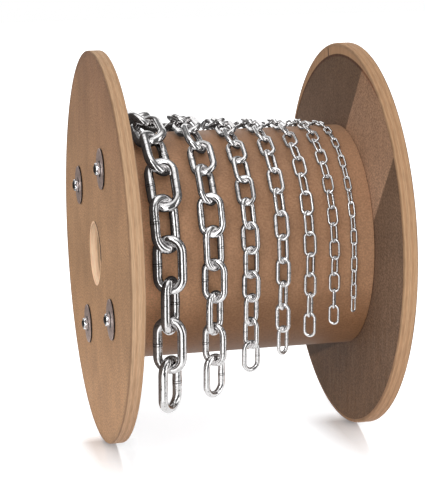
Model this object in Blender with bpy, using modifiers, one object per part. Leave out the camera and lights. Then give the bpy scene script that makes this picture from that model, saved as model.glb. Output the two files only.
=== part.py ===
"""Plywood reel with seven lengths of steel chain hung over its barrel."""
import math

import bmesh
import bpy
from mathutils import Matrix, Vector

# The reel, in metres: its axis runs along X and it stands on the flanges' rims
FLANGE_RADIUS = 0.218
FLANGE_THICKNESS = 0.015
REEL_WIDTH = 0.300
BARREL_RADIUS = 0.125
BARREL_WALL = 0.004
BORE_RADIUS = 0.034
BORE_DROP = 0.007
FLANGE_SIDES = 64
BARREL_SIDES = 48
BORE_SIDES = 32

# The four tie rods with their washers and nuts
ROD_RADIUS = 0.004
ROD_HOLE_RADIUS = 0.0043
ROD_SIDES = 10
ROD_CIRCLE_RADIUS = 0.114
ROD_CIRCLE_DROP = 0.002
ROD_COUNT = 4
ROD_FIRST_ANGLE = math.radians(63.0)
ROD_STICK_OUT = 0.0012
WASHER_RADIUS = 0.022
WASHER_THICKNESS = 0.002
WASHER_SIDES = 20
NUT_ACROSS_FLATS = 0.013
NUT_THICKNESS = 0.0045

# Clear gap left between pieces that touch, and how far a cutter runs past its cut
GAP = 0.0003
CUT_PAST = 0.01

# How each new nut is turned from the one before
NUT_TURN = 0.4

# The chains: the wire is drawn four-sided, its corners a little proud of the round radius.
# Twists are in degrees and shifts sideways in millimetres, from the last link in front
# upwards; links past the end of a list lie as the two usual twists have it
ARC_TWIST = {"wide": 22.0, "narrow": -40.0}
HANG_TWIST = {"wide": 27.0, "narrow": -56.0}
HANG_BELOW = -0.020
FLAT_END = 0.4
CHAINS = (
    {"name": "chain_10mm", "wire": 0.010, "pitch": 0.0434, "width": 0.0365, "x": -0.0951,
     "front_end": -0.1495, "back_end": -0.1495, "last": "narrow", "corners": 8, "proud": 1.12,
     "twists": (-44, 26, -56, 24, -28, 14), "shifts": (0.0, 0.0, 0.8, 1.0, -1.8, 1.2)},
    {"name": "chain_7mm", "wire": 0.007, "pitch": 0.0349, "width": 0.0288, "x": -0.0478,
     "front_end": -0.1375, "back_end": -0.1375, "last": "narrow", "corners": 8, "proud": 1.12,
     "twists": (-31, 46, -46, 36, -34, 18, -40), "shifts": (1.4, 1.8, 2.2, 2.0, 1.9, 1.8, 0.6, 2.0)},
    {"name": "chain_5mm", "wire": 0.005, "pitch": 0.0259, "width": 0.0210, "x": -0.0051,
     "front_end": -0.1132, "back_end": -0.0700, "last": "narrow", "corners": 8, "proud": 1.12,
     "twists": (-14, 57, -33, 39, -28, 35, -37, 21, -23), "shifts": ()},
    {"name": "chain_4mm", "wire": 0.004, "pitch": 0.0252, "width": 0.0170, "x": 0.0304,
     "front_end": -0.0972, "back_end": -0.0500, "last": "narrow", "corners": 6, "proud": 1.1,
     "twists": (-33, 36, -47, 38, -36, 32, -39, 15), "shifts": ()},
    {"name": "chain_3mm", "wire": 0.003, "pitch": 0.0222, "width": 0.0145, "x": 0.0607,
     "front_end": -0.0795, "back_end": -0.0450, "last": "wide", "corners": 6, "proud": 1.1,
     "twists": (38, -54, 40, -40, 30, -32, 21), "shifts": ()},
    {"name": "chain_2_5mm", "wire": 0.0025, "pitch": 0.01805, "width": 0.0124, "x": 0.0881,
     "front_end": -0.0678, "back_end": -0.0400, "last": "wide", "corners": 6, "proud": 1.12,
     "twists": (36, -65, 16, -40, 38, -40, 36, -40, 31), "shifts": ()},
    {"name": "chain_2mm", "wire": 0.002, "pitch": 0.0148, "width": 0.0076, "x": 0.1106,
     "front_end": -0.0557, "back_end": -0.0350, "last": "narrow", "corners": 6, "proud": 1.15,
     "twists": (-31, 50, -30, 36), "shifts": ()},
)

# The lowest face of each flange lies flat on the ground
AXIS_HEIGHT = FLANGE_RADIUS * math.cos(math.pi / FLANGE_SIDES)
HALF_WIDTH = REEL_WIDTH / 2.0

for stale in list(bpy.data.objects):
    bpy.data.objects.remove(stale, do_unlink=True)


def new_collection(name):
    collection = bpy.data.collections.new(name)
    bpy.context.scene.collection.children.link(collection)
    return collection


def new_material(name, colour, roughness, metallic):
    material = bpy.data.materials.new(name)
    material.use_nodes = True
    shader = material.node_tree.nodes["Principled BSDF"]
    shader.inputs["Base Color"].default_value = (*colour, 1.0)
    shader.inputs["Roughness"].default_value = roughness
    shader.inputs["Metallic"].default_value = metallic
    return material


PARTS = new_collection("chain_reel")
CUTTERS = new_collection("chain_reel_cutters")
FLANGE_WOOD = new_material("flange_plywood", (0.40, 0.23, 0.13), 0.6, 0.0)
BARREL_BOARD = new_material("barrel_hardboard", (0.36, 0.17, 0.08), 0.5, 0.0)
PLATED_STEEL = new_material("plated_steel", (0.62, 0.60, 0.62), 0.35, 1.0)
CHAIN_ZINC = new_material("chain_zinc", (0.75, 0.76, 0.78), 0.2, 1.0)

reel_axis = bpy.data.objects.new("reel_axis", None)
reel_axis.location = (0.0, 0.0, AXIS_HEIGHT)
PARTS.objects.link(reel_axis)


def add_part(name, mesh, material, location=(0.0, 0.0, 0.0)):
    """Make a named object of the mesh, placed from the reel's axis."""
    part = bpy.data.objects.new(name, mesh)
    part.data.materials.clear()
    part.data.materials.append(material)
    part.parent = reel_axis
    part.location = location
    PARTS.objects.link(part)
    return part


def add_cutter(name, mesh, location=(0.0, 0.0, 0.0)):
    cutter = bpy.data.objects.new(name, mesh)
    cutter.parent = reel_axis
    cutter.location = location
    cutter.hide_render = True
    cutter.display_type = "WIRE"
    CUTTERS.objects.link(cutter)
    return cutter


def cut(part, cutter, operation="DIFFERENCE"):
    modifier = part.modifiers.new(operation.lower(), "BOOLEAN")
    modifier.operation = operation
    modifier.object = cutter
    modifier.solver = "EXACT"


def disc_mesh(name, radius, length, sides, turn=0.0):
    """A round or many-sided bar along X, centred on the origin."""
    mesh = bpy.data.meshes.new(name)
    shape = bmesh.new()
    bmesh.ops.create_cone(shape, cap_ends=True, segments=sides, radius1=radius,
                          radius2=radius, depth=length)
    bmesh.ops.transform(shape, verts=shape.verts, matrix=Matrix.Rotation(turn, 4, "Z"))
    lay_along_x = Matrix.Rotation(math.pi / 2.0, 4, "Y")
    bmesh.ops.transform(shape, verts=shape.verts, matrix=lay_along_x)
    shape.to_mesh(mesh)
    shape.free()
    mesh.shade_smooth()
    mesh.set_sharp_from_angle(angle=math.radians(30.0))
    return mesh


def rod_centre(index):
    """Where a rod stands, from the reel's axis: the angle runs from the front up over the top."""
    angle = ROD_FIRST_ANGLE + index * 2.0 * math.pi / ROD_COUNT
    rise = ROD_CIRCLE_RADIUS * math.sin(angle) - ROD_CIRCLE_DROP
    return -ROD_CIRCLE_RADIUS * math.cos(angle), rise


def build_flanges():
    middle = HALF_WIDTH - FLANGE_THICKNESS / 2.0
    cut_length = REEL_WIDTH + 2.0 * CUT_PAST
    bore = add_cutter("bore_cutter", disc_mesh("bore_cutter", BORE_RADIUS, cut_length,
                                               BORE_SIDES), (0.0, 0.0, -BORE_DROP))
    holes = []
    for index in range(ROD_COUNT):
        y, z = rod_centre(index)
        name = f"rod_hole_cutter_{index + 1}"
        mesh = disc_mesh(name, ROD_HOLE_RADIUS, cut_length, ROD_SIDES)
        holes.append(add_cutter(name, mesh, (0.0, y, z)))
    for name, side in (("left_flange", -1.0), ("right_flange", 1.0)):
        mesh = disc_mesh(name, FLANGE_RADIUS, FLANGE_THICKNESS, FLANGE_SIDES,
                         math.pi / FLANGE_SIDES)
        flange = add_part(name, mesh, FLANGE_WOOD, (side * middle, 0.0, 0.0))
        for cutter in (bore, *holes):
            cut(flange, cutter)


def build_barrel():
    """A thin tube: its wall section turned about the axis."""
    half = HALF_WIDTH - FLANGE_THICKNESS - GAP
    inner = BARREL_RADIUS - BARREL_WALL
    mesh = bpy.data.meshes.new("barrel")
    shape = bmesh.new()
    corners = [shape.verts.new(point) for point in (
        (BARREL_RADIUS, 0.0, half), (BARREL_RADIUS, 0.0, -half),
        (inner, 0.0, -half), (inner, 0.0, half))]
    for first, second in zip(corners, corners[1:] + corners[:1]):
        shape.edges.new((first, second))
    shape.to_mesh(mesh)
    shape.free()
    barrel = add_part("barrel", mesh, BARREL_BOARD)
    barrel.rotation_euler = (0.0, math.pi / 2.0, 0.0)
    turned = barrel.modifiers.new("turned", "SCREW")
    turned.axis = "Z"
    turned.steps = BARREL_SIDES
    turned.render_steps = BARREL_SIDES
    turned.use_merge_vertices = True
    turned.merge_threshold = 0.0001
    turned.use_smooth_shade = True


def build_fasteners():
    washer_out = HALF_WIDTH + GAP + WASHER_THICKNESS
    nut_out = washer_out + GAP + NUT_THICKNESS
    rod_length = 2.0 * (nut_out + ROD_STICK_OUT)
    washer_middle = HALF_WIDTH + GAP + WASHER_THICKNESS / 2.0
    nut_middle = washer_out + GAP + NUT_THICKNESS / 2.0
    for index in range(ROD_COUNT):
        y, z = rod_centre(index)
        number = index + 1
        rod_mesh = disc_mesh(f"tie_rod_{number}", ROD_RADIUS, rod_length, ROD_SIDES)
        add_part(f"tie_rod_{number}", rod_mesh, PLATED_STEEL, (0.0, y, z))
        hole_mesh = disc_mesh(f"fastener_hole_cutter_{number}", ROD_HOLE_RADIUS,
                              rod_length, ROD_SIDES)
        hole = add_cutter(f"fastener_hole_cutter_{number}", hole_mesh, (0.0, y, z))
        for side_name, side in (("left", -1.0), ("right", 1.0)):
            washer_name = f"washer_{side_name}_{number}"
            washer_mesh = disc_mesh(washer_name, WASHER_RADIUS, WASHER_THICKNESS, WASHER_SIDES)
            washer = add_part(washer_name, washer_mesh, PLATED_STEEL, (side * washer_middle, y, z))
            cut(washer, hole)
            nut_name = f"nut_{side_name}_{number}"
            nut_mesh = disc_mesh(nut_name, NUT_ACROSS_FLATS / math.sqrt(3.0), NUT_THICKNESS, 6,
                                 NUT_TURN * number)
            nut = add_part(nut_name, nut_mesh, PLATED_STEEL, (side * nut_middle, y, z))
            cut(nut, hole)


def joint_points(chain):
    """Points where links meet, as (y, z) from the axis, from the front end to the back end.

    They climb straight up in front, go round the barrel as chords and hang down behind.
    """
    pitch = chain["pitch"]
    wire = chain["wire"] / 2.0
    seat_twist = math.radians(abs(ARC_TWIST["narrow"]))
    lean = (chain["width"] / 2.0 - wire) * math.sin(seat_twist)
    reach = wire * chain["proud"] * math.cos(seat_twist)
    middle_radius = BARREL_RADIUS + GAP + lean + reach
    joint_radius = math.hypot(middle_radius, pitch / 2.0)
    z = chain["front_end"] + chain["wire"]
    points = [(-joint_radius, z)]
    while z + pitch <= 0.0:
        z += pitch
        points.append((-joint_radius, z))
    step = 2.0 * math.asin(pitch / (2.0 * joint_radius))
    distance = math.hypot(joint_radius, z)
    along = (pitch ** 2 - joint_radius ** 2 + distance ** 2) / (2.0 * distance)
    across = math.sqrt(pitch ** 2 - along ** 2)
    start = Vector((-joint_radius, z))
    inward = -start / distance
    climb = Vector((-inward.y, inward.x))
    first = start + inward * along + climb * across
    angle = math.atan2(first.y, -first.x)
    while angle < math.pi:
        points.append((-joint_radius * math.cos(angle), joint_radius * math.sin(angle)))
        angle += step
    y, z = points[-1]
    z -= math.sqrt(pitch ** 2 - (joint_radius - y) ** 2)
    points.append((joint_radius, z))
    while z - pitch >= chain["back_end"]:
        z -= pitch
        points.append((joint_radius, z))
    return points


def link_outline(chain):
    """The wire's centre line: straight sides joined by a flat or a pointed end."""
    wire = chain["wire"] / 2.0
    bend = chain["width"] / 2.0 - wire
    tip = chain["pitch"] / 2.0 + wire
    straight = tip - bend
    if chain["corners"] == 8:
        flat = FLAT_END * bend
        end = [(straight, bend), (tip, flat), (tip, -flat), (straight, -bend)]
    else:
        end = [(straight, bend), (tip, 0.0), (straight, -bend)]
    return end + [(-x, -y) for x, y in end]


def link_mesh(chain):
    """One link lying in XY with its length along X: a closed four-sided wire."""
    corners = link_outline(chain)
    curve = bpy.data.curves.new("link", "CURVE")
    curve.dimensions = "2D"
    curve.fill_mode = "NONE"
    curve.bevel_depth = chain["wire"] / 2.0 * chain["proud"]
    curve.bevel_resolution = 0
    spline = curve.splines.new("POLY")
    spline.points.add(len(corners) - 1)
    for point, (x, y) in zip(spline.points, corners):
        point.co = (x, y, 0.0, 1.0)
    spline.use_cyclic_u = True
    drawn = bpy.data.objects.new("link", curve)
    bpy.context.scene.collection.objects.link(drawn)
    bpy.context.view_layer.update()
    evaluated = drawn.evaluated_get(bpy.context.evaluated_depsgraph_get())
    mesh = bpy.data.meshes.new_from_object(evaluated)
    bpy.data.objects.remove(drawn, do_unlink=True)
    return mesh


def link_lay(chain, index, kind, height):
    """A link's twist about the chain's line, in radians, and its sideways shift, in metres."""
    usual = HANG_TWIST if height < HANG_BELOW else ARC_TWIST
    twist = chain["twists"][index] if index < len(chain["twists"]) else usual[kind]
    shift = chain["shifts"][index] if index < len(chain["shifts"]) else 0.0
    return math.radians(twist), shift / 1000.0


def link_matrix(chain, index, lower, upper, kind):
    """Place a link between two joints, twisted about the line between them."""
    twist, shift = link_lay(chain, index, kind, (lower[1] + upper[1]) / 2.0)
    lower_point = Vector((chain["x"] + shift, *lower))
    upper_point = Vector((chain["x"] + shift, *upper))
    middle = (lower_point + upper_point) / 2.0
    along = (upper_point - lower_point).normalized()
    outward = Vector((1.0, 0.0, 0.0)).cross(along).normalized()
    if outward.dot(Vector((0.0, middle.y, max(middle.z, 0.0)))) < 0.0:
        outward = -outward
    across = Vector((math.cos(twist), 0.0, 0.0)) + outward * math.sin(twist)
    normal = along.cross(across)
    turn = Matrix((along, across, normal)).transposed().to_4x4()
    return Matrix.Translation(middle) @ turn


def build_chain(chain):
    """Every second link goes into one mesh and the rest into another; a union joins them."""
    points = joint_points(chain)
    link = link_mesh(chain)
    other = {"wide": "narrow", "narrow": "wide"}
    kind = chain["last"]
    rows = (bmesh.new(), bmesh.new())
    for index, (lower, upper) in enumerate(zip(points, points[1:])):
        placed = link.copy()
        placed.transform(link_matrix(chain, index, lower, upper, kind))
        rows[index % 2].from_mesh(placed)
        bpy.data.meshes.remove(placed)
        kind = other[kind]
    meshes = []
    for row, label in zip(rows, ("odd", "even")):
        mesh = bpy.data.meshes.new(f"{chain['name']}_{label}")
        bmesh.ops.remove_doubles(row, verts=row.verts, dist=0.00001)
        row.to_mesh(mesh)
        row.free()
        mesh.shade_smooth()
        meshes.append(mesh)
    part = add_part(chain["name"], meshes[0], CHAIN_ZINC)
    cut(part, add_cutter(f"{chain['name']}_even_links", meshes[1]), "UNION")


build_flanges()
build_barrel()
build_fasteners()
for chain_data in CHAINS:
    build_chain(chain_data)
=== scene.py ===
import math
import bpy
import numpy as np
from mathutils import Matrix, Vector


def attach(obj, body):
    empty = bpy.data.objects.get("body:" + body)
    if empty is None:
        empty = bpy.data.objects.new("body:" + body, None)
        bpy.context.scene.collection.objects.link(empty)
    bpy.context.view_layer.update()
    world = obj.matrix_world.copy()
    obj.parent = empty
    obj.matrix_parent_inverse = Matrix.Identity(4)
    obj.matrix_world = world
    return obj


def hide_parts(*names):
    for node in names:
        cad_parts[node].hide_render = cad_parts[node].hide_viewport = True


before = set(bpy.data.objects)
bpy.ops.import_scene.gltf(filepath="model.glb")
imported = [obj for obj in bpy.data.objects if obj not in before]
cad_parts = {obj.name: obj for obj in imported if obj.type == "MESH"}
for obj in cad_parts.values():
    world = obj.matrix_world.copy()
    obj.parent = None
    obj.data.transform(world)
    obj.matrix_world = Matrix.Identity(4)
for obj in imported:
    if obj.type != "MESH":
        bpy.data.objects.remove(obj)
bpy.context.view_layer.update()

# the reel's own sizes, in metres, as its solids have them; it stands on a facet of each rim
reel = {
    "flangeRadius": 0.218, "flangeThickness": 0.015, "rimFacets": 64, "halfWidth": 0.150,
    "barrelRadius": 0.125, "barrelWall": 0.004, "boreRadius": 0.034, "boreDrop": 0.007, "gap": 0.0003,
}
axisZ = reel["flangeRadius"] * math.cos(math.pi / reel["rimFacets"])
innerFaceX = reel["halfWidth"] - reel["flangeThickness"]


def linear(red, green, blue):
    # a screen colour from 0 to 255 turned into scene light
    channel = np.array([red, green, blue]) / 255.0
    return (*(np.where(channel < 0.04045, channel / 12.92, ((channel + 0.055) / 1.055) ** 2.4)), 1.0)


def gridFaces(rows, columns, closeRows, closeColumns):
    # quads between neighbouring rows and columns, wrapping where a direction closes
    i = np.arange(rows if closeRows else rows - 1)
    j = np.arange(columns if closeColumns else columns - 1)
    i, j = np.meshgrid(i, j, indexing="ij")
    nextI, nextJ = (i + 1) % rows, (j + 1) % columns
    corners = [i * columns + j, nextI * columns + j, nextI * columns + nextJ, i * columns + nextJ]
    return np.stack([c.ravel() for c in corners], axis=1)


def makeMesh(name, grids, closeRows, closeColumns, materials, slots=None):
    # each grid is rows x columns points; slots gives each face of one grid its material
    grids = np.asarray(grids, dtype=float)
    if grids.ndim == 3:
        grids = grids[None]
    count, rows, columns, _ = grids.shape
    quads = gridFaces(rows, columns, closeRows, closeColumns)
    starts = np.arange(count)[:, None, None] * rows * columns
    faces = (quads[None] + starts).reshape(-1, 4)
    mesh = bpy.data.meshes.new(name)
    mesh.from_pydata(grids.reshape(-1, 3), [], faces)
    for material in materials:
        mesh.materials.append(material)
    if slots is not None:
        mesh.polygons.foreach_set("material_index", np.tile(slots, count).astype(np.int32))
    mesh.shade_smooth()
    mesh.update()
    piece = bpy.data.objects.new(name, mesh)
    bpy.context.scene.collection.objects.link(piece)
    return piece


def addPointValues(piece, name, values):
    # one number for each point, in the order of the grids
    layer = piece.data.attributes.new(name, "FLOAT", "POINT")
    layer.data.foreach_set("value", np.asarray(values, dtype=np.float32).ravel())


def place(piece, slot, *nodes):
    # every piece rides the one body and stands for its own solids
    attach(piece, "root")
    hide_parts(*nodes)


# node helpers: settings are a node's own choices, and values go into its sockets, by name
# or by number as i0, i1 and so on
def addNode(tree, kind, settings=None, **values):
    node = tree.nodes.new(kind)
    for key, value in (settings or {}).items():
        setattr(node, key, value)
    for key, value in values.items():
        socket = node.inputs[int(key[1:])] if key[0] == "i" and key[1:].isdigit() else node.inputs[key]
        if isinstance(value, bpy.types.NodeSocket):
            tree.links.new(value, socket)
        else:
            socket.default_value = value
    return node


def mathNode(tree, operation, first, second=0.0, clamp=False):
    node = addNode(tree, "ShaderNodeMath", {"operation": operation, "use_clamp": clamp}, i0=first, i1=second)
    return node.outputs[0]


def plus(tree, first, second):
    return mathNode(tree, "ADD", first, second)


def minus(tree, first, second):
    return mathNode(tree, "SUBTRACT", first, second)


def times(tree, first, second):
    return mathNode(tree, "MULTIPLY", first, second)


def over(tree, first, second):
    return mathNode(tree, "DIVIDE", first, second)


def grey(value):
    return (value, value, value, 1.0)


def rampNode(tree, factor, stops):
    node = addNode(tree, "ShaderNodeValToRGB", i0=factor)
    stopList = node.color_ramp.elements
    while len(stopList) < len(stops):
        stopList.new(0.5)
    for element, (position, colour) in zip(stopList, stops):
        element.position = position
        element.color = colour
    return node.outputs[0]


def greyRamp(tree, factor, *stops):
    # a ramp whose stops are a place and a grey each
    return rampNode(tree, factor, [(position, grey(value)) for position, value in stops])


def mixColour(tree, factor, first, second, blend="MIX"):
    settings = {"data_type": "RGBA", "blend_type": blend}
    return addNode(tree, "ShaderNodeMix", settings, i0=factor, i6=first, i7=second).outputs[2]


def multiply(tree, first, second):
    return mixColour(tree, 1.0, first, second, "MULTIPLY")


def noise(tree, vector, scale, detail, roughness, distortion=0.0):
    return addNode(tree, "ShaderNodeTexNoise", Vector=vector, Scale=scale, Detail=detail,
                   Roughness=roughness, Distortion=distortion).outputs[0]


def stretched(tree, vector, size):
    return addNode(tree, "ShaderNodeVectorMath", {"operation": "MULTIPLY"}, i0=vector, i1=size).outputs[0]


def axesOf(tree, vector):
    outputs = addNode(tree, "ShaderNodeSeparateXYZ", i0=vector).outputs
    return outputs[0], outputs[1], outputs[2]


def lengthOf(tree, x, y, z):
    joined = addNode(tree, "ShaderNodeCombineXYZ", i0=x, i1=y, i2=z)
    node = addNode(tree, "ShaderNodeVectorMath", {"operation": "LENGTH"}, i0=joined.outputs[0])
    return node.outputs["Value"]


def newMaterial(name):
    material = bpy.data.materials.new(name)
    material.use_nodes = True
    return material, material.node_tree, material.node_tree.nodes["Principled BSDF"]


def bumpInto(tree, shader, height, strength, distance):
    bump = addNode(tree, "ShaderNodeBump", Strength=strength, Distance=distance, Height=height)
    tree.links.new(bump.outputs[0], shader.inputs["Normal"])
    return bump


# painted reflection: what mirrors see in place of the wood's own colour, brown at the foot,
# then a pale warm grey, and dark by the axis
mirroredWood = {"foot": (0.46, 0.23, 0.10, 1.0), "low": (0.43, 0.37, 0.33, 1.0),
                "ply": (0.085, 0.074, 0.069, 1.0), "board": (0.050, 0.043, 0.040, 1.0)}


def woodInto(tree, shader, position, colour, highTint):
    # mirrors see a painted reflection tone here, darker and greyer than the wood itself
    height = over(tree, axesOf(tree, position)[2], axisZ)
    stops = [(0.15, mirroredWood["foot"]), (0.30, mirroredWood["low"]), (0.95, highTint)]
    reflectedTone = rampNode(tree, height, stops)
    mirrored = addNode(tree, "ShaderNodeLightPath").outputs["Is Glossy Ray"]
    tree.links.new(mixColour(tree, mirrored, colour, reflectedTone), shader.inputs["Base Color"])


# shared effect: long wood streaks and slow cloudy patches, as two masks
def makeGrainGroup():
    group = bpy.data.node_groups.new("woodStreaks", "ShaderNodeTree")
    face = group.interface
    face.new_socket(name="Position", in_out="INPUT", socket_type="NodeSocketVector")
    face.new_socket(name="Streak Size", in_out="INPUT", socket_type="NodeSocketVector")
    face.new_socket(name="Patch Size", in_out="INPUT", socket_type="NodeSocketFloat")
    face.new_socket(name="Streaks", in_out="OUTPUT", socket_type="NodeSocketFloat")
    face.new_socket(name="Patches", in_out="OUTPUT", socket_type="NodeSocketFloat")
    entry = group.nodes.new("NodeGroupInput").outputs
    leave = group.nodes.new("NodeGroupOutput")
    fibres = stretched(group, entry[0], entry[1])
    streaks = noise(group, fibres, 1.0, detail=5.0, roughness=0.62, distortion=0.3)
    patches = noise(group, entry[0], entry[2], detail=3.0, roughness=0.55)
    group.links.new(streaks, leave.inputs[0])
    group.links.new(patches, leave.inputs[1])
    return group


grainGroup = makeGrainGroup()


def grainInto(tree, streakSize, patchSize):
    position = addNode(tree, "ShaderNodeTexCoord").outputs["Object"]
    grain = tree.nodes.new("ShaderNodeGroup")
    grain.node_tree = grainGroup
    tree.links.new(position, grain.inputs[0])
    grain.inputs[1].default_value = streakSize
    grain.inputs[2].default_value = patchSize
    return position, grain.outputs[0], grain.outputs[1]


# a fine grain of darker and paler specks, as a grey to multiply by
def speckle(tree, position, size, low, high):
    return greyRamp(tree, noise(tree, position, size, detail=2.0, roughness=0.6), (0.38, low), (0.62, high))


def aboutAxis(tree, position):
    # how far to the right, how far back and how high above the axis a point is
    x, y, z = axesOf(tree, position)
    return x, y, minus(tree, z, axisZ)


def fromAxis(tree, position):
    # distance from the reel's axis
    y, z = aboutAxis(tree, position)[1:]
    return lengthOf(tree, 0.0, y, z)


def slanted(tree, y, z, degrees):
    # distance above a line through the axis that slopes by so many degrees
    slope = math.radians(degrees)
    return minus(tree, times(tree, z, math.cos(slope)), times(tree, y, math.sin(slope)))


def pastEdges(tree, edges, soft):
    # 1 where every value is past its edge, fading over a soft width; a sign of -1 turns a side round
    inside = None
    for value, sign, edge in edges:
        past = minus(tree, times(tree, value, sign), edge)
        step = mathNode(tree, "DIVIDE", past, soft, clamp=True)
        inside = step if inside is None else times(tree, inside, step)
    return inside


# painted light: a lit band across the right flange's inner face, between two parallel
# lines, on the upper front side of the axis
def paleStrip(tree, position):
    lightBand = {"slope": -54.6, "low": -0.073, "high": 0.062, "soft": 0.003}
    x, y, z = aboutAxis(tree, position)
    across = slanted(tree, y, z, lightBand["slope"])
    along = slanted(tree, y, z, lightBand["slope"] + 90.0)
    edges = [(across, 1.0, lightBand["low"]), (across, -1.0, -lightBand["high"]), (along, 1.0, 0.0), (x, 1.0, 0.0)]
    return pastEdges(tree, edges, lightBand["soft"])


# painted shadow of the barrel: a dark wedge under it, above a line that touches the barrel from below
def barrelShade(tree, position):
    wedge = {"slope": -24.6, "line": -0.1239, "front": -0.024, "top": 0.075, "soft": 0.004}
    x, y, z = aboutAxis(tree, position)
    edges = [(slanted(tree, y, z, wedge["slope"]), 1.0, wedge["line"]), (y, 1.0, wedge["front"]),
             (z, -1.0, wedge["top"]), (x, 1.0, 0.0)]
    return pastEdges(tree, edges, wedge["soft"])


# where the brown film ends short of the rim: outside a circle set lower than the axis, with
# a dark line along it, and one dark joint across the bare wood
def bareEdge(tree, position, wood, bare):
    film = {"radius": 0.2378, "forward": -0.0102, "lower": -0.0314, "reach": 0.25,
            "line": (0.66, 0.46, 0.36, 1.0), "lineFrom": 0.016, "lineTo": 0.008,
            "joint": 74.6, "jointWidth": 0.0016, "jointSoft": 0.0003, "dark": linear(60, 42, 30)}
    y, z = aboutAxis(tree, position)[1:]
    away = lengthOf(tree, 0.0, minus(tree, y, film["forward"]), minus(tree, z, film["lower"]))
    away = over(tree, away, film["reach"])
    end = film["radius"] / film["reach"]
    line = rampNode(tree, away, [(end - film["lineFrom"], grey(1.0)), (end - film["lineTo"], film["line"])])
    wood = multiply(tree, wood, line)
    wood = mixColour(tree, greyRamp(tree, away, (end - 0.002, 0.0), (end + 0.001, 1.0)), wood, bare)
    joint = mathNode(tree, "ABSOLUTE", slanted(tree, y, z, film["joint"]))
    isJoint = pastEdges(tree, [(joint, -1.0, -film["jointWidth"]), (away, 1.0, end)], film["jointSoft"])
    return mixColour(tree, isJoint, wood, film["dark"])


# the dark crescent at the bore's upper front lip, as a mask from 0 to 1: inside an
# oval a little wider than the bore, in front of the axis and above the bore's middle
def boreLip(tree, position):
    lip = {"wide": 0.0095, "tall": 0.0050, "soft": 0.004}
    y, z = aboutAxis(tree, position)[1:]
    z = plus(tree, z, reel["boreDrop"])
    reach = lengthOf(tree, 0.0, over(tree, y, reel["boreRadius"] + lip["wide"]),
                     over(tree, z, reel["boreRadius"] + lip["tall"]))
    upperFront = pastEdges(tree, [(y, -1.0, 0.0), (z, 1.0, 0.0)], lip["soft"])
    return times(tree, greyRamp(tree, reach, (0.96, 1.0), (0.99, 0.0)), upperFront)


# ply face: brown film over birch with upright grain, slow stains and fine specks, with
# painted shading by height and painted shade by the rim; the inner faces have the painted
# light band, the painted barrel shadow and the bare edge, and the outer ones the dark lip
def makePlyFace(name, look):
    material, tree, shader = newMaterial(name)
    position, streaks, patches = grainInto(tree, streakSize=(60.0, 150.0, 22.0), patchSize=11.0)
    wood = rampNode(tree, streaks, [(0.30, look["dark"]), (0.52, look["middle"]), (0.72, look["light"])])
    cloud = greyRamp(tree, patches, (0.30, look["patchLow"]), (0.70, 1.05))
    wood = multiply(tree, wood, cloud)
    wood = multiply(tree, wood, speckle(tree, position, 480.0, *look["specks"]))
    stain = noise(tree, stretched(tree, position, look["stainSize"]), 1.0, detail=3.0, roughness=0.6)
    wood = multiply(tree, wood, greyRamp(tree, stain, (0.36, look["stain"]), (0.62, 1.06)))
    # painted shading by height: the outer face lighter low down, the inner face darker at its foot, both
    # darker at the top
    height = over(tree, axesOf(tree, position)[2], 2.0 * axisZ)
    ragged = times(tree, minus(tree, streaks, 0.5), look["ragged"])
    level = plus(tree, ragged, height)
    heightShading = [(0.05, look["lowShading"]), (0.40, grey(1.0)), (0.60, grey(1.0)), (0.95, look["topShading"])]
    wood = multiply(tree, wood, rampNode(tree, level, heightShading))
    if look["inner"]:
        # the painted light band brightens the inner face and the painted barrel shadow darkens it
        for makeMask, tone in ((paleStrip, look["lightBand"]), (barrelShade, look["shade"])):
            maskShading = rampNode(tree, makeMask(tree, position), [(0.0, grey(1.0)), (1.0, tone)])
            wood = multiply(tree, wood, maskShading)
        worn = multiply(tree, greyRamp(tree, streaks, (0.36, 0.88), (0.60, 1.04)), cloud)
        wood = bareEdge(tree, position, wood, multiply(tree, look["bare"], worn))
    else:
        wood = mixColour(tree, boreLip(tree, position), wood, look["lip"])
    # painted shade: the face darkens towards the rim
    ring = over(tree, fromAxis(tree, position), reel["flangeRadius"])
    wood = multiply(tree, wood, rampNode(tree, ring, [(0.955, grey(1.0)), (0.99, look["rim"])]))
    woodInto(tree, shader, position, wood, mirroredWood["ply"])
    shader.inputs["Specular IOR Level"].default_value = 0.16
    rough = greyRamp(tree, streaks, (0.3, look["rough"] + 0.08), (0.7, look["rough"]))
    tree.links.new(rough, shader.inputs["Roughness"])
    bumpInto(tree, shader, streaks, strength=0.25, distance=0.0004)
    return material
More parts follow.
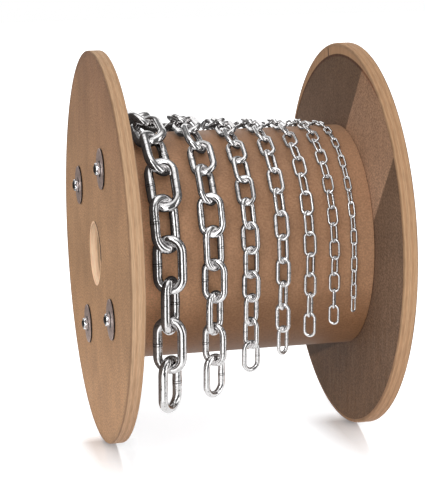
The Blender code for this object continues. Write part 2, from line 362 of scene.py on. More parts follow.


# ply edge: layers across the thickness, pale and end-grain in turn, with thin glue lines,
# darker corners, painted shading by height and painted shade on the right flange; the bore's
# wall is brightened with painted light, and has painted shade on its inner half
def makePlyEdge():
    look = {"layers": 5.0, "pale": linear(214, 177, 142), "endGrain": linear(204, 165, 130),
            "glue": linear(178, 138, 103), "waver": 0.0016, "foot": (1.09, 1.04, 1.05, 1.0),
            "top": (0.80, 0.78, 0.75, 1.0), "farSideShade": (0.92, 0.87, 0.82, 1.0), "boreZone": 0.1,
            "bore": (1.85, 2.00, 2.20, 1.0), "boreDeepShade": (0.50, 0.46, 0.42, 1.0), "boreLean": 0.9}
    material, tree, shader = newMaterial("plyEdge")
    position, streaks, patches = grainInto(tree, streakSize=(900.0, 70.0, 70.0), patchSize=18.0)
    x, _, z = axesOf(tree, position)
    depth = minus(tree, mathNode(tree, "ABSOLUTE", x), innerFaceX)
    waver = times(tree, minus(tree, patches, 0.5), look["waver"])
    depth = plus(tree, depth, waver)
    layer = times(tree, depth, look["layers"] / reel["flangeThickness"])
    plies = [(0.0, look["pale"]), (0.42, look["pale"]), (0.60, look["endGrain"]), (1.0, look["endGrain"])]
    wood = rampNode(tree, mathNode(tree, "PINGPONG", layer, 1.0), plies)
    withinLayer = mathNode(tree, "FRACT", plus(tree, layer, 0.5))
    nearGlue = mathNode(tree, "ABSOLUTE", minus(tree, withinLayer, 0.5))
    glue = greyRamp(tree, nearGlue, (0.0, 0.6), (0.08, 0.0))
    wood = mixColour(tree, glue, wood, look["glue"])
    wood = multiply(tree, wood, greyRamp(tree, streaks, (0.32, 0.78), (0.62, 1.05)))
    height = over(tree, z, 2.0 * axisZ)
    # painted shading by height: lighter at the foot, darker at the top
    upward = [(0.1, look["foot"]), (0.45, grey(1.03)), (0.85, look["top"])]
    wood = multiply(tree, wood, rampNode(tree, height, upward))
    # painted shade on the right flange's edges
    farSideShade = [(0.45, grey(1.0)), (0.55, look["farSideShade"])]
    wood = multiply(tree, wood, rampNode(tree, plus(tree, x, 0.5), farSideShade))
    bore = over(tree, fromAxis(tree, position), look["boreZone"])
    bore = greyRamp(tree, bore, (0.45, 1.0), (0.55, 0.0))
    through = over(tree, depth, reel["flangeThickness"])
    # painted light: the bore's wall is brightened well past the ply's own colour, with painted shade on its
    # inner half
    wall = multiply(tree, wood, look["bore"])
    wall = multiply(tree, wall, rampNode(tree, through, [(0.42, look["boreDeepShade"]), (0.56, grey(1.0))]))
    corners = greyRamp(tree, through, (0.03, 0.80), (0.08, 1.0), (0.90, 1.0), (0.96, 0.62))
    wood = mixColour(tree, bore, multiply(tree, wood, corners), wall)
    woodInto(tree, shader, position, wood, mirroredWood["ply"])
    shader.inputs["Roughness"].default_value = 0.62
    shader.inputs["Specular IOR Level"].default_value = 0.12
    tall = minus(tree, streaks, times(tree, glue, 0.6))
    bump = bumpInto(tree, shader, tall, strength=0.35, distance=0.0005)
    # the bore's wall is shaded as if it leaned outward, so it is as pale as in the photo
    lean = times(tree, mathNode(tree, "SIGN", x), look["boreLean"])
    sideways = addNode(tree, "ShaderNodeCombineXYZ", i0=times(tree, lean, bore)).outputs[0]
    normal = addNode(tree, "ShaderNodeNewGeometry").outputs["Normal"]
    normal = addNode(tree, "ShaderNodeVectorMath", {"operation": "ADD"}, i0=normal, i1=sideways).outputs[0]
    normal = addNode(tree, "ShaderNodeVectorMath", {"operation": "NORMALIZE"}, i0=normal).outputs[0]
    tree.links.new(normal, bump.inputs["Normal"])
    return material


# smooth hardboard skin with fine fibres, with painted shade underneath and inside, and painted
# light towards the ends, which the flanges shade, so that it looks even
def makeBoard():
    look = {"dark": linear(184, 137, 103), "middle": linear(192, 145, 110), "light": linear(199, 153, 117),
            "under": (0.58, 0.49, 0.37, 1.0), "belly": (0.77, 0.70, 0.60, 1.0), "insideZone": 0.2,
            "nearRight": (0.98, 1.01, 1.04, 1.0), "right": (1.0, 1.05, 1.1, 1.0)}
    material, tree, shader = newMaterial("barrelBoard")
    position, streaks, patches = grainInto(tree, streakSize=(520.0, 620.0, 620.0), patchSize=14.0)
    board = rampNode(tree, streaks, [(0.30, look["dark"]), (0.50, look["middle"]), (0.75, look["light"])])
    board = multiply(tree, board, greyRamp(tree, patches, (0.30, 0.90), (0.70, 1.04)))
    board = multiply(tree, board, speckle(tree, position, 520.0, 0.86, 1.10))
    x, _, z = axesOf(tree, position)
    # painted shading by height: shade underneath, lighter just below the middle, a little darker towards the
    # top
    upright = rampNode(tree, over(tree, z, 2.0 * axisZ),
                       [(0.21, look["under"]), (0.333, look["belly"]), (0.44, grey(1.15)),
                        (0.575, grey(1.0)), (0.69, grey(0.92)), (0.765, grey(0.87))])
    board = multiply(tree, board, upright)
    # painted light: the ends, which the flanges shade, are lifted and the middle darkened
    across = plus(tree, over(tree, x, 2.0 * innerFaceX), 0.5)
    evened = rampNode(tree, across, [(0.0, grey(1.54)), (0.10, grey(1.43)), (0.16, grey(1.19)),
                                     (0.25, grey(0.98)), (0.38, grey(0.85)), (0.60, grey(0.77)),
                                     (0.75, grey(0.79)), (0.85, grey(0.86)), (0.94, look["nearRight"]),
                                     (1.0, look["right"])])
    board = multiply(tree, board, evened)
    # painted shade inside the tube
    inside = over(tree, fromAxis(tree, position), look["insideZone"])
    board = multiply(tree, board, greyRamp(tree, inside, (0.608, 0.12), (0.618, 1.0)))
    woodInto(tree, shader, position, board, mirroredWood["board"])
    tree.links.new(greyRamp(tree, patches, (0.3, 0.50), (0.7, 0.40)), shader.inputs["Roughness"])
    shader.inputs["Specular IOR Level"].default_value = 0.2
    bumpInto(tree, shader, streaks, strength=0.08, distance=0.0002)
    return material


# zinc plating: bright metal with cloudy patches, small dark specks and an uneven skin that
# bends its reflections; a weld has a dark ragged seam and a rougher skin
def makeZinc(name, look):
    material, tree, shader = newMaterial(name)
    position = addNode(tree, "ShaderNodeTexCoord").outputs["Object"]
    cloud = noise(tree, position, look["patchScale"], detail=4.0, roughness=0.6)
    metal = rampNode(tree, cloud, [(0.30, look["dark"]), (0.50, look["light"])])
    grit = noise(tree, position, look["speckScale"], detail=2.0, roughness=0.5)
    metal = mixColour(tree, greyRamp(tree, grit, (0.60, 0.0), (0.68, look["specks"])), metal, grey(0.06))
    jagged = 0.10
    if look["welded"]:
        fromWeld = addNode(tree, "ShaderNodeAttribute", {"attribute_name": "fromWeld"}).outputs["Fac"]
        weld = greyRamp(tree, over(tree, fromWeld, 3.0), (0.16, 1.0), (0.34, 0.0))
        ragged = minus(tree, fromWeld, times(tree, grit, 0.5))
        seam = greyRamp(tree, mathNode(tree, "ABSOLUTE", ragged), (0.05, 0.9), (0.13, 0.0))
        metal = mixColour(tree, seam, metal, linear(70, 66, 66))
        jagged = plus(tree, times(tree, weld, 0.9), jagged)
    tree.links.new(metal, shader.inputs["Base Color"])
    shader.inputs["Metallic"].default_value = look["metallic"]
    rough = greyRamp(tree, cloud, (0.3, look["roughHigh"]), (0.6, look["roughLow"]))
    tree.links.new(rough, shader.inputs["Roughness"])
    skin = noise(tree, position, look["skinScale"], detail=2.5, roughness=0.5)
    height = plus(tree, skin, times(tree, grit, jagged))
    bumpInto(tree, shader, height, look["skinStrength"], look["skinDepth"])
    return material


plyOuter = makePlyFace("plyOuterFace", {
    "dark": linear(174, 133, 97), "middle": linear(181, 139, 102), "light": linear(188, 146, 109),
    "patchLow": 0.90, "lowShading": grey(1.27), "topShading": (0.68, 0.62, 0.62, 1.0), "rough": 0.6,
    "stain": 0.93, "stainSize": (24.0, 30.0, 22.0), "specks": (0.70, 1.22), "ragged": 0.9,
    "inner": False, "lip": linear(48, 31, 19), "rim": grey(0.82)})
# the inner faces' browns are darker than the outer ones', partly a darker film and partly painted shade
plyInner = makePlyFace("plyInnerFace", {
    "dark": linear(128, 101, 81), "middle": linear(135, 107, 87), "light": linear(141, 113, 92),
    "patchLow": 0.90, "lowShading": (0.88, 0.77, 0.60, 1.0), "topShading": (0.61, 0.54, 0.44, 1.0), "rough": 0.6,
    "stain": 0.95, "stainSize": (20.0, 32.0, 16.0), "specks": (0.68, 1.24), "ragged": 0.2,
    "inner": True, "lightBand": (2.24, 2.24, 2.28, 1.0), "shade": (0.50, 0.47, 0.44, 1.0),
    "bare": (0.44, 0.245, 0.125, 1.0), "rim": grey(0.92)})
plyEdge = makePlyEdge()
barrelBoard = makeBoard()
print("wood finishes made")

# flanges
flange = {"around": 224, "rounding": 0.0009, "innerRounding": 0.0022, "boreRounding": 0.0006,
          "dropFades": 0.08, "clear": 0.001}


def turnedRing(profile, around, drop):
    # a closed profile (along the axis, radius) turned about the reel's axis; near the
    # bore each ring's centre sinks by the bore's drop, fading out short of the rods' circle
    angle = np.linspace(0.0, 2.0 * np.pi, around, endpoint=False)[:, None]
    along, radius = profile[:, 0][None], profile[:, 1][None]
    fade = np.clip((flange["dropFades"] - radius) / (flange["dropFades"] - reel["boreRadius"]), 0.0, 1.0)
    y = radius * np.cos(angle)
    z = radius * np.sin(angle) + axisZ - drop * fade
    return np.stack([along + 0.0 * angle, y, z], axis=2)


def roundCorner(along, radius, size, start, steps=5):
    # a quarter circle round (along, radius), run backwards from its far end to its start
    turn = np.radians(np.linspace(start, start + 90.0, steps))
    return np.stack([along + size * np.cos(turn), radius + size * np.sin(turn)], axis=1)[::-1]


def flangeProfile():
    # (along, radius) with along 0 at the outer face and the thickness at the inner one,
    # running outer face, rim, inner face, bore wall; with each point's material number
    thick, outer, bore, clear = reel["flangeThickness"], axisZ, reel["boreRadius"], flange["clear"]
    first, second, third = flange["rounding"], flange["innerRounding"], flange["boreRounding"]
    faceRadii = np.array([bore + 0.002, 0.05, 0.08, 0.12, 0.16, 0.19, outer - 0.004])
    outerFace = np.stack([np.zeros(7), faceRadii], axis=1)
    innerFace = np.stack([np.full(7, thick), faceRadii[::-1]], axis=1)
    rim = np.stack([np.linspace(first + clear, thick - second - clear, 4), np.full(4, outer)], axis=1)
    wall = np.stack([np.linspace(thick - third - clear, third + clear, 3), np.full(3, bore)], axis=1)
    parts = [(0, outerFace), (1, roundCorner(first, outer - first, first, 90.0)), (1, rim),
             (1, roundCorner(thick - second, outer - second, second, 0.0)), (2, innerFace),
             (1, roundCorner(thick - third, bore + third, third, -90.0)), (1, wall),
             (1, roundCorner(third, bore + third, third, -180.0))]
    points = np.concatenate([part for _, part in parts])
    return points, np.concatenate([np.full(len(part), kind) for kind, part in parts])


def makeFlange(name, side, node):
    profile, kinds = flangeProfile()
    profile[:, 0] = side * (reel["halfWidth"] - profile[:, 0])
    grid = turnedRing(profile, flange["around"], reel["boreDrop"])
    if side > 0:
        grid = grid[::-1]
    slots = np.tile(kinds, flange["around"])
    place(makeMesh(name, grid, True, True, [plyOuter, plyEdge, plyInner], slots), "plywood", node)


makeFlange("leftFlangePly", -1.0, "left_flange")
makeFlange("rightFlangePly", 1.0, "right_flange")
print("flanges made")

# barrel
barrel = {"around": 192, "edge": 0.0006, "steps": 9, "sharpAngle": math.radians(40.0)}


def makeBarrel():
    # a thin tube: a chamfered rectangle of wall section turned about the axis
    half, steps, edge = innerFaceX - reel["gap"], barrel["steps"], barrel["edge"]
    outer, inner = reel["barrelRadius"], reel["barrelRadius"] - reel["barrelWall"]
    along = np.linspace(half - edge, -half + edge, steps)
    outside = np.stack([along, np.full(steps, outer)], axis=1)
    inside = np.stack([along[::-1], np.full(steps, inner)], axis=1)
    leftEnd = np.array([[-half, outer - edge], [-half, inner + edge]])
    rightEnd = np.array([[half, inner + edge], [half, outer - edge]])
    profile = np.concatenate([outside, leftEnd, inside, rightEnd])
    grid = turnedRing(profile, barrel["around"], 0.0)
    piece = makeMesh("barrelSkin", grid, True, True, [barrelBoard])
    piece.data.set_sharp_from_angle(angle=barrel["sharpAngle"])
    place(piece, "hardboard", "barrel")


makeBarrel()
print("barrel made")

# washers, nuts and rods
fasteners = {"circleRadius": 0.114, "circleDrop": 0.002, "firstAngle": math.radians(63.0), "count": 4,
             "hole": 0.0043, "washerRadius": 0.022, "washerThickness": 0.002, "washerAround": 64,
             "washerSharp": math.radians(35.0), "nutFlats": 0.013, "nutThickness": 0.0045, "nutAround": 96,
             "nutSharp": math.radians(28.0), "nutTurnStep": 0.4, "rodRadius": 0.004, "rodAround": 20,
             "stickOut": 0.0012, "thread": 0.00125, "threadDepth": 0.0004, "threadLength": 0.0070,
             "chamfer": 0.0036, "tipRadius": 0.0035}


def rodPlaces():
    # the rods' (y, z) on a circle set a little below the axis
    angle = fasteners["firstAngle"] + np.arange(fasteners["count"]) * 2.0 * np.pi / fasteners["count"]
    y = -fasteners["circleRadius"] * np.cos(angle)
    z = axisZ + fasteners["circleRadius"] * np.sin(angle) - fasteners["circleDrop"]
    return np.stack([y, z], axis=1)


def turnedBar(along, radius, around):
    # radius may vary with the angle: point = (along, radius cos, radius sin)
    angle = np.linspace(0.0, 2.0 * np.pi, around, endpoint=False)[:, None]
    radius = radius if radius.ndim == 2 else radius[None] + 0.0 * angle
    return np.stack([along[None] + 0.0 * angle, radius * np.cos(angle), radius * np.sin(angle)], axis=2)


def standAtRods(grid, sides):
    # copies of one grid at each rod, for each side of the reel, mirrored along the axis
    copies = []
    for side in sides:
        for y, z in rodPlaces():
            copy = grid * np.array([side, 1.0, 1.0]) + np.array([0.0, y, z])
            copies.append(copy[::-1] if side < 0 else copy)
    return np.array(copies)


def washerGrid():
    # (along, radius) from the hole across the back, over the rounded rim and back to the
    # hole across a slightly dished front
    thick, outer, hole = fasteners["washerThickness"], fasteners["washerRadius"], fasteners["hole"]
    start = reel["halfWidth"] + reel["gap"]
    front = thick - np.array([0.0006, 0.0001, 0.0, 0.0001, 0.0002, 0.0004])
    along = start + np.concatenate([[0.0, 0.0, 0.0003], front])
    rim = outer - np.array([0.0005, 0.0, 0.0, 0.0004, 0.0012])
    radius = np.concatenate([[hole], rim, [0.015, 0.009, hole]])
    return turnedBar(along, radius, fasteners["washerAround"])


def nutGrid(turn):
    # a hexagon, its radius the half width across flats over the cosine from the nearest
    # flat's middle, cut by a cone that tapers the corners outward, with a countersunk hole
    around = fasteners["nutAround"]
    flats, thick = fasteners["nutFlats"] / 2.0, fasteners["nutThickness"]
    start = reel["halfWidth"] + reel["gap"] * 2.0 + fasteners["washerThickness"]
    angle = np.linspace(0.0, 2.0 * np.pi, around, endpoint=False)[:, None]
    sixth = np.mod(angle + turn, np.pi / 3.0) - np.pi / 6.0
    hexagon = flats / np.cos(sixth) * 0.995
    along = start + thick * np.array([0.0, 0.0, 0.03, 0.14, 0.5, 0.82, 0.90, 0.96, 1.0, 1.0, 0.93, 0.86])
    cone = flats * np.array([0.7, 1.02, 1.10, 1.155, 1.09, 1.03, 1.00, 0.96, 0.91, 0.80, 0.71, 0.67])
    radius = np.minimum(hexagon, cone[None])
    radius[:, -1] = fasteners["hole"]
    radius[:, 0] = fasteners["hole"]
    return turnedBar(along, radius, around)


def rodGrid():
    # a round bar whose ends carry a screw thread: the radius dips by a rounded saw tooth
    # that climbs one pitch a turn, and closes in a chamfered end
    around, pitch, length = fasteners["rodAround"], fasteners["thread"], fasteners["threadLength"]
    end = (reel["halfWidth"] + 2.0 * reel["gap"] + fasteners["washerThickness"] + fasteners["nutThickness"]
           + fasteners["stickOut"])
    threaded = np.arange(0.0, length, pitch / 6.0)
    half = np.concatenate([end - 0.0001 - threaded, [end - length - 0.0008, end - length - 0.003]])
    along = np.concatenate([[end, end], half, -half[::-1], [-end, -end]])
    angle = np.linspace(0.0, 2.0 * np.pi, around, endpoint=False)[:, None]
    phase = np.abs(along)[None] / pitch - np.sign(along)[None] * angle / (2.0 * np.pi)
    tooth = 0.5 - 0.5 * np.cos(2.0 * np.pi * phase)
    isThread = (np.abs(along) > end - length - 0.0001)[None]
    radius = fasteners["rodRadius"] - fasteners["threadDepth"] * tooth * isThread
    fromEnd = (end - np.abs(along))[None]
    radius = np.minimum(radius, fasteners["chamfer"] + fromEnd)
    radius[:, 0] = radius[:, -1] = 0.0
    radius[:, 1] = radius[:, -2] = fasteners["tipRadius"]
    return turnedBar(along, radius, around)


washerZinc = makeZinc("washerZinc", {
    "dark": linear(136, 114, 106), "light": linear(205, 180, 170), "welded": False, "specks": 0.35,
    "metallic": 0.7, "roughHigh": 0.50, "roughLow": 0.38, "patchScale": 190.0, "speckScale": 800.0,
    "skinScale": 500.0, "skinStrength": 0.15, "skinDepth": 0.0003})
nutZinc = makeZinc("nutZinc", {
    "dark": linear(225, 224, 226), "light": linear(250, 250, 252), "welded": False, "specks": 0.4,
    "metallic": 1.0, "roughHigh": 0.16, "roughLow": 0.08, "patchScale": 160.0, "speckScale": 900.0,
    "skinScale": 500.0, "skinStrength": 0.25, "skinDepth": 0.0004})
rodSteel = makeZinc("rodSteel", {
    "dark": linear(34, 32, 32), "light": linear(62, 60, 60), "welded": False, "specks": 0.5,
    "metallic": 1.0, "roughHigh": 0.45, "roughLow": 0.32, "patchScale": 300.0, "speckScale": 900.0,
    "skinScale": 700.0, "skinStrength": 0.2, "skinDepth": 0.0003})


def nodeNames(pattern, sides=("left", "right")):
    return [pattern.format(side, number) for side in sides for number in range(1, 5)]


def makeWashers():
    # painted shade: rodSteel darkens the rim, and a painted shadow ring round the nut, with the hole
    paintedShadeRings = [0, 1, 1, 0, 0, 0, 0, 1, 1]
    slots = np.tile(paintedShadeRings, fasteners["washerAround"])
    grids = standAtRods(washerGrid(), (-1.0, 1.0))
    washers = makeMesh("rodWashers", grids, True, True, [washerZinc, rodSteel], slots)
    washers.data.set_sharp_from_angle(angle=fasteners["washerSharp"])
    place(washers, "plated_steel", *nodeNames("washer_{}_{}"))


def makeNuts():
    # each of the four nuts on a side is turned a little further; rodSteel fills the countersink
    turns = [fasteners["nutTurnStep"] * (number + 1) for number in range(4)]
    grids = [standAtRods(nutGrid(turn), (side,))[number]
             for side in (-1.0, 1.0) for number, turn in enumerate(turns)]
    ringCount, countersinkStart = 12, 8
    slots = np.tile(np.arange(ringCount) > countersinkStart, fasteners["nutAround"])
    nuts = makeMesh("rodNuts", np.array(grids), True, True, [nutZinc, rodSteel], slots)
    nuts.data.set_sharp_from_angle(angle=fasteners["nutSharp"])
    place(nuts, "plated_steel", *nodeNames("nut_{}_{}"))


makeWashers()
makeNuts()
rods = makeMesh("threadedRods", standAtRods(rodGrid(), (1.0,)), True, False, [rodSteel])
place(rods, "plated_steel", *[f"tie_rod_{number}" for number in range(1, 5)])
print("washers, nuts and rods made")

# chains, thickest first, in metres; from the last link in front upwards, twists are in degrees
# about the chain's own line and shifts are sideways in millimetres. proud sets how high the
# solid's four-sided wire seats a link, and fullness how full the round wire is drawn
chains = [
    {"name": "chainTenMm", "node": "chain_10mm", "wire": 0.010, "pitch": 0.0434, "width": 0.0365,
     "x": -0.0951, "frontEnd": -0.1495, "backEnd": -0.1495, "last": "narrow", "proud": 1.12, "fullness": 1.0,
     "shine": 232, "metallic": 1.0, "along": 60, "around": 18,
     "twists": (-44, 26, -56, 24, -28, 14), "shifts": (0.0, 0.0, 0.8, 1.0, -1.8, 1.2)},
    {"name": "chainSevenMm", "node": "chain_7mm", "wire": 0.007, "pitch": 0.0349, "width": 0.0288,
     "x": -0.0478, "frontEnd": -0.1375, "backEnd": -0.1375, "last": "narrow", "proud": 1.12, "fullness": 1.03,
     "shine": 238, "metallic": 1.0, "along": 56, "around": 16,
     "twists": (-31, 46, -46, 36, -34, 18, -40), "shifts": (1.4, 1.8, 2.2, 2.0, 1.9, 1.8, 0.6, 2.0)},
    {"name": "chainFiveMm", "node": "chain_5mm", "wire": 0.005, "pitch": 0.0259, "width": 0.0210,
     "x": -0.0051, "frontEnd": -0.1132, "backEnd": -0.070, "last": "narrow", "proud": 1.12, "fullness": 1.04,
     "shine": 240, "metallic": 1.0, "along": 48, "around": 14,
     "twists": (-14, 57, -33, 39, -28, 35, -37, 21, -23), "shifts": ()},
    {"name": "chainFourMm", "node": "chain_4mm", "wire": 0.004, "pitch": 0.0252, "width": 0.0170,
     "x": 0.0304, "frontEnd": -0.0972, "backEnd": -0.050, "last": "narrow", "proud": 1.1, "fullness": 1.05,
     "shine": 248, "metallic": 0.95, "along": 44, "around": 12,
     "twists": (-33, 36, -47, 38, -36, 32, -39, 15), "shifts": ()},
    {"name": "chainThreeMm", "node": "chain_3mm", "wire": 0.003, "pitch": 0.0222, "width": 0.0145,
     "x": 0.0607, "frontEnd": -0.0795, "backEnd": -0.045, "last": "wide", "proud": 1.1, "fullness": 1.06,
     "shine": 250, "metallic": 0.93, "along": 40, "around": 10,
     "twists": (38, -54, 40, -40, 30, -32, 21), "shifts": ()},
    {"name": "chainTwoHalfMm", "node": "chain_2_5mm", "wire": 0.0025, "pitch": 0.01805, "width": 0.0124,
     "x": 0.0881, "frontEnd": -0.0678, "backEnd": -0.040, "last": "wide", "proud": 1.12, "fullness": 1.04,
     "shine": 252, "metallic": 0.93, "along": 36, "around": 10,
     "twists": (36, -65, 16, -40, 38, -40, 36, -40, 31), "shifts": ()},
    {"name": "chainTwoMm", "node": "chain_2mm", "wire": 0.002, "pitch": 0.0148, "width": 0.0076,
     "x": 0.1106, "frontEnd": -0.0557, "backEnd": -0.035, "last": "narrow", "proud": 1.15, "fullness": 1.08,
     "shine": 252, "metallic": 0.93, "along": 32, "around": 8,
     "twists": (-31, 50, -30, 36), "shifts": ()},
]
chainLay = {"seatTwist": -40.0, "arcWide": 22.0, "arcNarrow": -37.0, "hangWide": 27.0,
            "hangNarrow": -56.0, "hangBelow": -0.020, "jitter": 3.5, "hangJitter": 1.6,
            "weldFlips": 0.15, "beadSwell": 0.06, "beadReach": 3.0, "firstSeed": 40}


def jointLine(chain):
    # where links meet, as (y, z) from the axis: straight up in front, chords of equal
    # length round a circle a little outside the barrel, straight down behind
    pitch, wire = chain["pitch"], chain["wire"] / 2.0
    seat = math.radians(abs(chainLay["seatTwist"]))
    lean = (chain["width"] / 2.0 - wire) * math.sin(seat)
    middle = reel["barrelRadius"] + reel["gap"] + lean + wire * chain["proud"] * math.cos(seat)
    radius = math.hypot(middle, pitch / 2.0)
    z = chain["frontEnd"] + chain["wire"]
    points = [(-radius, z)]
    while z + pitch <= 0.0:
        z += pitch
        points.append((-radius, z))
    step = 2.0 * math.asin(pitch / (2.0 * radius))
    distance = math.hypot(radius, z)
    reach = (pitch ** 2 - radius ** 2 + distance ** 2) / (2.0 * distance)
    rise = math.sqrt(pitch ** 2 - reach ** 2)
    inward = np.array([radius, -z]) / distance
    first = np.array([-radius, z]) + inward * reach + np.array([-inward[1], inward[0]]) * rise
    angle = math.atan2(first[1], -first[0])
    while angle < math.pi:
        points.append((-radius * math.cos(angle), radius * math.sin(angle)))
        angle += step
    y, z = points[-1]
    z -= math.sqrt(pitch ** 2 - (radius - y) ** 2)
    points.append((radius, z))
    while z - pitch >= chain["backEnd"]:
        z -= pitch
        points.append((radius, z))
    return np.array(points)


def linkGrid(chain):
    # a round wire carried along a long loop: two straight sides and two half circles.
    # one side swells a little at its weld, and each point keeps its distance from there
    wire = chain["wire"] / 2.0
    bend = chain["width"] / 2.0 - wire
    straight = chain["pitch"] / 2.0 + wire - bend
    lengths = np.array([2.0 * straight, np.pi * bend, 2.0 * straight, np.pi * bend])
    total = lengths.sum()
    s = np.mod(straight + np.linspace(0.0, total, chain["along"], endpoint=False), total)
    starts = np.concatenate([[0.0], np.cumsum(lengths)])
    leg = np.searchsorted(starts, s, side="right") - 1
    t = s - starts[leg]
    turn = t / bend
    legs = [leg == 0, leg == 1, leg == 2]
    x = np.select(legs, [-straight + t, straight + bend * np.sin(turn), straight - t],
                  -straight - bend * np.sin(turn))
    y = np.select(legs, [bend + 0.0 * t, bend * np.cos(turn), -bend + 0.0 * t], -bend * np.cos(turn))
    normalX = np.select(legs, [0.0 * t, np.sin(turn), 0.0 * t], -np.sin(turn))
    normalY = np.select(legs, [1.0 + 0.0 * t, np.cos(turn), -1.0 + 0.0 * t], -np.cos(turn))
    farthest = chainLay["beadReach"]
    fromWeld = np.where(leg == 0, np.minimum(np.abs(t - straight) / wire, farthest), farthest)
    size = wire * (chain["fullness"] + chainLay["beadSwell"] * np.exp(-fromWeld ** 4))
    angle = np.linspace(0.0, 2.0 * np.pi, chain["around"], endpoint=False)[None]
    out, up = size[:, None] * np.cos(angle), size[:, None] * np.sin(angle)
    grid = np.stack([x[:, None] + out * normalX[:, None], y[:, None] + out * normalY[:, None], up], axis=2)
    return grid, fromWeld[:, None] + 0.0 * angle


def linkTwists(chain, count, isWide, hangs, rng):
    # each link's turn about the chain's line, in radians: its kind's own with a little chance,
    # and the photo's where it shows the link
    twist = np.where(isWide, np.where(hangs, chainLay["hangWide"], chainLay["arcWide"]),
                     np.where(hangs, chainLay["hangNarrow"], chainLay["arcNarrow"]))
    jitter = chainLay["jitter"] * np.where(hangs, chainLay["hangJitter"], 1.0)
    twist = twist + rng.uniform(-1.0, 1.0, count) * jitter
    twist[:len(chain["twists"])] = chain["twists"]
    return np.radians(twist)[:, None]


def chainGrids(chain, seed):
    # each link stands between two joints and is twisted about the line between them
    rng = np.random.default_rng(seed)
    joints = jointLine(chain)
    lower, upper = joints[:-1], joints[1:]
    middle = (lower + upper) / 2.0
    count = len(middle)
    along = upper - lower
    along /= np.linalg.norm(along, axis=1, keepdims=True)
    along = np.concatenate([np.zeros((count, 1)), along], axis=1)
    outward = np.cross(np.array([1.0, 0.0, 0.0]), along)
    towards = np.stack([np.zeros(count), middle[:, 0], np.maximum(middle[:, 1], 0.0)], axis=1)
    outward *= np.sign((outward * towards).sum(axis=1, keepdims=True))
    isWide = (np.arange(count) % 2 == 0) == (chain["last"] == "wide")
    twist = linkTwists(chain, count, isWide, middle[:, 1] < chainLay["hangBelow"], rng)
    shift = np.zeros(count)
    shift[:len(chain["shifts"])] = chain["shifts"]
    across = np.cos(twist) * np.array([[1.0, 0.0, 0.0]]) + np.sin(twist) * outward
    normal = np.cross(along, across)
    grid, fromWeld = linkGrid(chain)
    flip = np.where(isWide ^ (rng.random(count) < chainLay["weldFlips"]), -1.0, 1.0)[:, None]
    across, normal = across * flip, normal * flip
    origin = np.column_stack([chain["x"] + shift / 1000.0, middle[:, 0], middle[:, 1] + axisZ])
    grids = (origin[:, None, None] + grid[None, ..., 0:1] * along[:, None, None]
             + grid[None, ..., 1:2] * across[:, None, None] + grid[None, ..., 2:3] * normal[:, None, None])
    return grids, np.broadcast_to(fromWeld[None], (count, *fromWeld.shape))


for number, chain in enumerate(chains):
    wire = chain["wire"]
    # shine and metallic: the thinner chains get paler zinc and a little less metal, a painted brightening of
    # their highlights
    shine = chain["shine"]
    zinc = makeZinc(chain["name"] + "Zinc", {
        "dark": linear(shine - 26, shine - 28, shine - 29), "light": linear(shine, shine - 2, shine - 2),
        "welded": True, "specks": 0.6, "metallic": chain["metallic"],
        "roughHigh": 0.12, "roughLow": 0.05, "patchScale": 1.6 / wire, "speckScale": 5.0 / wire,
        "skinScale": 1.5 / wire, "skinStrength": 0.30, "skinDepth": 0.05 * wire + 0.0001})
    grids, fromWeld = chainGrids(chain, chainLay["firstSeed"] + number)
    piece = makeMesh(chain["name"], grids, True, True, [zinc])
    addPointValues(piece, "fromWeld", fromWeld)
    place(piece, "chain_zinc", chain["node"])
print("chains made")

# floor, lights and camera
floorLook = {"half": 4.0, "below": 0.0002, "seen": 0.92, "bounce": 0.72, "glow": (0.75, 0.77, 0.79, 1.0),
             "nearMetal": 0.26, "farMetal": 0.55, "mirror": 0.60, "mirrorRough": 0.16, "mirrorTint": 0.93,
             "mirrorStart": 0.0, "mirrorEnd": -0.24, "footX": 0.1425, "mirrorFull": 0.020,
             "mirrorSide": 0.055, "footForward": 0.035, "contactReach": 0.034}
tent = {"side": grey(1.05), "top": grey(0.72)}


def makeWallGroup():
    # what the metal sees round the reel, by bearing: dark at the back and the far left, a
    # bright wall to the left and before it, a dark slot, a bright wall to the right
    group = bpy.data.node_groups.new("studioWalls", "ShaderNodeTree")
    group.interface.new_socket(name="Direction", in_out="INPUT", socket_type="NodeSocketVector")
    group.interface.new_socket(name="Brightness", in_out="OUTPUT", socket_type="NodeSocketColor")
    entry = group.nodes.new("NodeGroupInput")
    leave = group.nodes.new("NodeGroupOutput")
    x, y = axesOf(group, entry.outputs[0])[:2]
    bearing = mathNode(group, "ARCTAN2", x, times(group, y, -1.0))
    turn = plus(group, over(group, bearing, 2.0 * math.pi), 0.5)
    walls = greyRamp(group, turn, (0.22, 0.08), (0.385, 0.12), (0.392, 1.8), (0.482, 1.8), (0.488, 0.06),
                     (0.603, 0.10), (0.61, 1.6), (0.672, 1.6), (0.68, 0.16), (0.80, 0.16), (0.86, 0.07))
    group.links.new(walls, leave.inputs[0])
    return group


wallGroup = makeWallGroup()


def wallsSeen(tree, direction):
    node = tree.nodes.new("ShaderNodeGroup")
    node.node_tree = wallGroup
    tree.links.new(direction, node.inputs[0])
    return node.outputs[0]


def spanNode(tree, value, start, end):
    # 0 at the start and 1 at the end
    return addNode(tree, "ShaderNodeMapRange", i0=value, i1=start, i2=end).outputs[0]


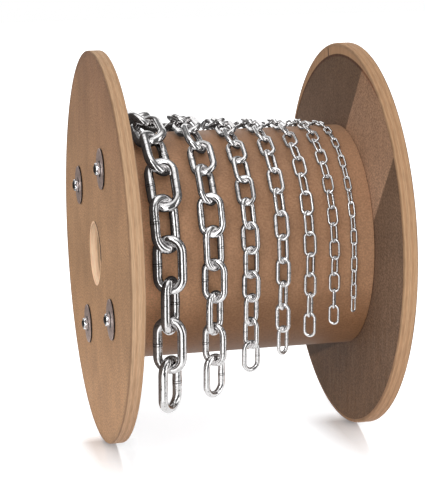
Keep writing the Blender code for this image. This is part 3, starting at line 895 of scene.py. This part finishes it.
def makeFloor():
    # one flat square under the reel: white to the camera, with a faint mirror image before each
    # flange and a soft painted shadow at its foot, plain paper to the light that bounces off it,
    # and to the metal white near by with the walls' own bright and dark bearings further out
    side = np.linspace(-floorLook["half"], floorLook["half"], 9)
    floorX, floorY = np.meshgrid(side, side, indexing="ij")
    material, tree, shader = newMaterial("floorPaint")
    path = addNode(tree, "ShaderNodeLightPath")
    seen, bounced, mirrored = (path.outputs[f"Is {kind} Ray"] for kind in ("Camera", "Diffuse", "Glossy"))
    position = addNode(tree, "ShaderNodeTexCoord").outputs["Object"]
    x, y = axesOf(tree, position)[:2]
    aside = minus(tree, mathNode(tree, "ABSOLUTE", x), floorLook["footX"])
    fromFoot = lengthOf(tree, aside, plus(tree, y, floorLook["footForward"]), 0.0)
    # painted contact shadow, set a little in front of each flange's foot
    footShadow = greyRamp(tree, over(tree, fromFoot, floorLook["contactReach"]),
                       (0.0, 0.56), (0.30, 0.80), (0.6, 0.94), (1.0, 1.0))
    paint = times(tree, times(tree, seen, floorLook["seen"]), footShadow)
    paint = plus(tree, paint, times(tree, bounced, floorLook["bounce"]))
    paper = addNode(tree, "ShaderNodeBsdfDiffuse", Color=paint)
    away = addNode(tree, "ShaderNodeVectorMath", {"operation": "LENGTH"}, i0=position).outputs["Value"]
    far = spanNode(tree, away, floorLook["nearMetal"], floorLook["farMetal"])
    pattern = mixColour(tree, far, grey(0.95), wallsSeen(tree, position))
    pattern = multiply(tree, mixColour(tree, mirrored, floorLook["glow"], pattern), footShadow)
    strength = minus(tree, 1.0, bounced)
    glow = addNode(tree, "ShaderNodeEmission", Color=pattern, Strength=strength)
    lit = addNode(tree, "ShaderNodeAddShader", i0=paper.outputs[0], i1=glow.outputs[0])
    mirror = addNode(tree, "ShaderNodeBsdfAnisotropic", Roughness=floorLook["mirrorRough"],
                     Color=multiply(tree, grey(floorLook["mirrorTint"]), footShadow))
    before = spanNode(tree, y, floorLook["mirrorStart"], floorLook["mirrorEnd"])
    before = greyRamp(tree, before, (0.0, 0.0), (0.13, 1.0), (1.0, 0.0))
    aside = mathNode(tree, "ABSOLUTE", aside)
    beside = spanNode(tree, aside, floorLook["mirrorSide"], floorLook["mirrorFull"])
    share = times(tree, times(tree, seen, floorLook["mirror"]), times(tree, before, beside))
    both = addNode(tree, "ShaderNodeMixShader", i0=share, i1=lit.outputs[0], i2=mirror.outputs[0])
    tree.links.new(both.outputs[0], tree.nodes["Material Output"].inputs["Surface"])
    tree.nodes.remove(shader)
    grid = np.stack([floorX, floorY, 0.0 * floorX - floorLook["below"]], axis=2)
    piece = makeMesh("floor", grid, False, False, [material])


def makeWorld():
    # white to the camera, an even tent to the wood, and to the metal the walls, a grey
    # ceiling and a white backdrop behind the reel
    world = bpy.data.worlds.new("studio")
    bpy.context.scene.world = world
    world.use_nodes = True
    tree = world.node_tree
    tree.nodes.clear()
    direction = addNode(tree, "ShaderNodeTexCoord").outputs["Generated"]
    y, z = axesOf(tree, direction)[1:]
    height = times(tree, plus(tree, z, 1.0), 0.5)
    wallTop = greyRamp(tree, height, (0.74, 1.0), (0.76, 0.15))
    ceiling = greyRamp(tree, height, (0.76, 0.05), (0.84, 0.25), (0.90, 0.25), (0.91, 0.85))
    behind = greyRamp(tree, y, (0.72, 0.0), (0.80, 1.0))
    lowDown = greyRamp(tree, height, (0.76, 1.0), (0.80, 0.0))
    tentSeen = rampNode(tree, height, [(0.5, tent["side"]), (1.0, tent["top"])])
    backdrop = multiply(tree, behind, lowDown)
    room = multiply(tree, wallsSeen(tree, direction), wallTop)
    room = mixColour(tree, 1.0, mixColour(tree, 1.0, room, ceiling, "ADD"), backdrop, "ADD")
    path = addNode(tree, "ShaderNodeLightPath").outputs
    toWood, toMetal, toCamera = (addNode(tree, "ShaderNodeBackground", i0=colour, i1=1.0).outputs[0]
                                 for colour in (tentSeen, room, grey(1.0)))
    first = addNode(tree, "ShaderNodeMixShader", i0=path["Is Glossy Ray"], i1=toWood, i2=toMetal)
    last = addNode(tree, "ShaderNodeMixShader", i0=path["Is Camera Ray"], i1=first.outputs[0], i2=toCamera)
    leave = addNode(tree, "ShaderNodeOutputWorld")
    tree.links.new(last.outputs[0], leave.inputs[0])


def areaLight(name, spot, size, power):
    # a lamp of a given width and depth, pointed a little below the reel's middle
    light = bpy.data.lights.new(name, "AREA")
    light.shape = "RECTANGLE"
    light.size, light.size_y = size
    light.energy = power
    lamp = bpy.data.objects.new(name, light)
    lamp.location = spot
    lamp.rotation_euler = (Vector((0.0, 0.0, 0.2)) - Vector(spot)).to_track_quat("-Z", "Y").to_euler()
    bpy.context.scene.collection.objects.link(lamp)


# the camera as fitted to the photo: places in metres, its own tilt and turn in radians
photoView = {"lens": 121.06, "sensor": 36.0, "x": -0.4344, "y": -1.7539, "aboveAxis": 0.4564,
             "tiltDown": 0.2503, "turn": -0.2344}


def makeCamera():
    camera = bpy.data.cameras.new("photoCamera")
    camera.sensor_width = photoView["sensor"]
    camera.lens = photoView["lens"]
    photoCamera = bpy.data.objects.new("photoCamera", camera)
    photoCamera.location = (photoView["x"], photoView["y"], photoView["aboveAxis"] + axisZ)
    photoCamera.rotation_euler = (math.pi / 2.0 - photoView["tiltDown"], 0.0, photoView["turn"])
    bpy.context.scene.collection.objects.link(photoCamera)
    bpy.context.scene.camera = photoCamera


makeFloor()
makeWorld()
areaLight("keyLight", (-1.3, -1.9, 1.9), (0.9, 0.9), 12.0)
areaLight("topLight", (0.2, -0.1, 2.2), (1.6, 1.2), 3.0)
bpy.context.scene.view_settings.view_transform = "Standard"
makeCamera()
print("floor, lights and camera made")
